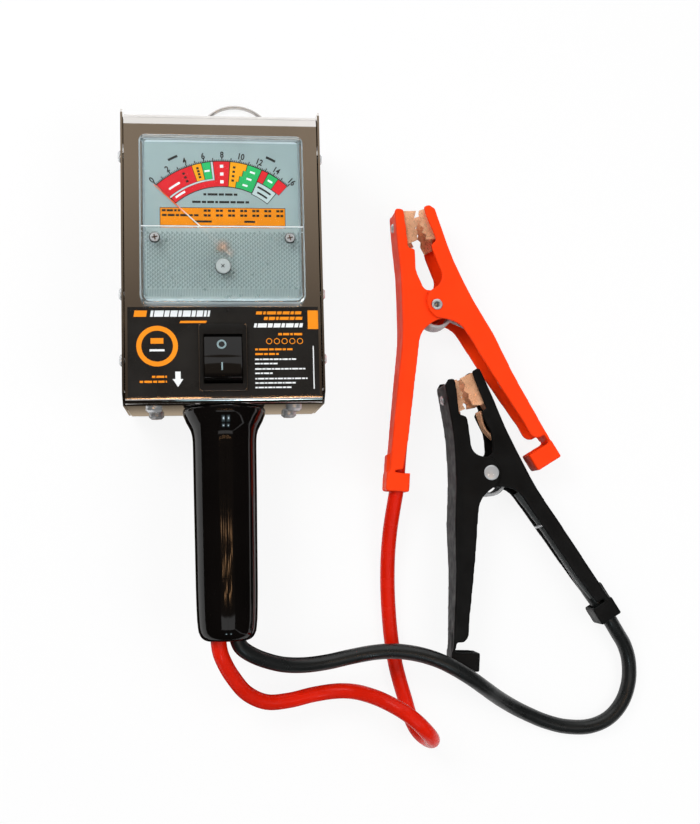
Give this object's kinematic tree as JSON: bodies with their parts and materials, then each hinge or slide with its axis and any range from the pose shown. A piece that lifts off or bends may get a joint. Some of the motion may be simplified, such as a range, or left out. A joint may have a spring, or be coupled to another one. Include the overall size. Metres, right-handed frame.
{
  "type": "battery load tester",
  "caption": "Hand-held battery load tester: needle meter and load rocker in a sheet-metal case, a straight grip, a hanging ring and two heavy leads with spring clamps.",
  "frame": {"origin": "on the surface the tester lies on, under the middle of the tester without its leads and clamps", "axes": "+Z out of the meter's face, +Y from the grip toward the hanging ring, +X to the right of someone who reads the meter"},
  "size_m": [0.3203, 0.408, 0.0801],
  "materials": {
    "chrome_shell": "mirror-polished nickel chrome",
    "plated_steel": "plated",
    "label_film": "glossy film with plain graphics",
    "black_plastic": "fine satin",
    "pale_plastic": "moulded, pale blue-grey",
    "dial_paint": "printed satin",
    "clear_plastic": "clear, the lower half knurled",
    "needle_paint": "satin",
    "copper": "bright copper",
    "magnet_iron": "ground",
    "brass": "turned",
    "white_plastic": "glossy",
    "gloss_black": "glossy moulded",
    "nichrome": "oxidised",
    "board": "phenolic board",
    "ceramic": "bisque",
    "grommet_rubber": "moulded",
    "red_jacket": "glossy PVC",
    "black_jacket": "glossy PVC",
    "wire_orange": "PVC",
    "red_dip": "dipped glossy PVC over steel",
    "black_dip": "dipped satin PVC over steel"
  },
  "bodies": {
    "tester": {"front_shell": "chrome_shell", "rear_shell": "chrome_shell", "shell_screws": "plated_steel", "label_plate": "label_film", "hanger_strap": "plated_steel", "meter_case": "pale_plastic", "dial_plate": "dial_paint", "meter_cover": "clear_plastic", "cover_screws": "plated_steel", "meter_magnet": "magnet_iron", "meter_core": "magnet_iron", "meter_bridges": "brass", "meter_nuts": "plated_steel", "terminal_studs": "brass", "terminal_nuts": "brass", "switch_body": "black_plastic", "switch_plunger": "plated_steel", "switch_blades": "brass", "load_ribbon": "nichrome", "load_board": "board", "load_posts": "ceramic", "load_screws": "plated_steel", "load_bus": "copper", "switch_bus": "copper", "handle_left": "gloss_black", "handle_right": "gloss_black", "handle_screws": "plated_steel", "handle_bracket": "plated_steel", "bracket_screws": "plated_steel", "bracket_nuts": "plated_steel", "cable_grommet": "grommet_rubber", "red_lead": "red_jacket", "black_lead": "black_jacket", "ring_terminals": "copper", "sense_wires": "wire_orange", "red_cable": "red_jacket", "black_cable": "black_jacket", "red_free_jaw": "red_dip", "red_rivet": "plated_steel", "red_spring": "plated_steel", "red_free_liner": "copper", "red_free_rivet": "plated_steel", "black_cable_jaw": "black_dip", "black_rivet": "plated_steel", "black_spring": "plated_steel", "black_cable_liner": "copper", "black_cable_rivet": "plated_steel", "black_bond_strip": "copper"},
    "movement": {"meter_needle": "needle_paint", "moving_coil": "copper"},
    "rocker": {"switch_rocker": "gloss_black"},
    "adjuster": {"zero_adjuster": "white_plastic"},
    "ring": {"hanger_ring": "chrome_shell"},
    "red_jaw": {"red_cable_jaw": "red_dip", "red_cable_liner": "copper", "red_cable_rivet": "plated_steel", "red_bond_strip": "copper"},
    "black_jaw": {"black_free_jaw": "black_dip", "black_free_liner": "copper", "black_free_rivet": "plated_steel"}
  },
  "joints": [
    {"name": "needle_swing", "type": "hinge", "parent": "tester", "child": "movement", "pos_m": [0, 0.05698, 0.06], "axis": [0, 0, -1], "range_deg": [0, 94], "stiffness_Nm_per_rad": 0.00002},
    {"name": "rocker_press", "type": "hinge", "parent": "tester", "child": "rocker", "pos_m": [-0.0007, -0.00752, 0.0657], "axis": [1, 0, 0], "range_deg": [0, 12], "stiffness_Nm_per_rad": 0.3, "springref_deg": -8.59},
    {"name": "zero_adjuster_turn", "type": "hinge", "parent": "tester", "child": "adjuster", "pos_m": [0, 0.04468, 0.078], "axis": [0, 0, 1], "range_deg": [-15, 15]},
    {"name": "hanger_swing", "type": "hinge", "parent": "tester", "child": "ring", "pos_m": [0, 0.12068, 0.0026], "axis": [0, 0, 1], "range_deg": [-14, 66]},
    {"name": "red_clamp_open", "type": "hinge", "parent": "tester", "child": "red_jaw", "pos_m": [0.1341, 0.0326, 0.0145], "axis": [0, 0, 1], "range_deg": [0, 10], "stiffness_Nm_per_rad": 1.5, "springref_deg": -34.38, "deforming": ["red_spring", "red_cable"]},
    {"name": "black_clamp_open", "type": "hinge", "parent": "tester", "child": "black_jaw", "pos_m": [0.1649, -0.0736, 0.0145], "axis": [0, 0, -1], "range_deg": [-22, 0], "stiffness_Nm_per_rad": 1.5, "springref_deg": 34.38, "deforming": ["black_spring"]}
  ]
}
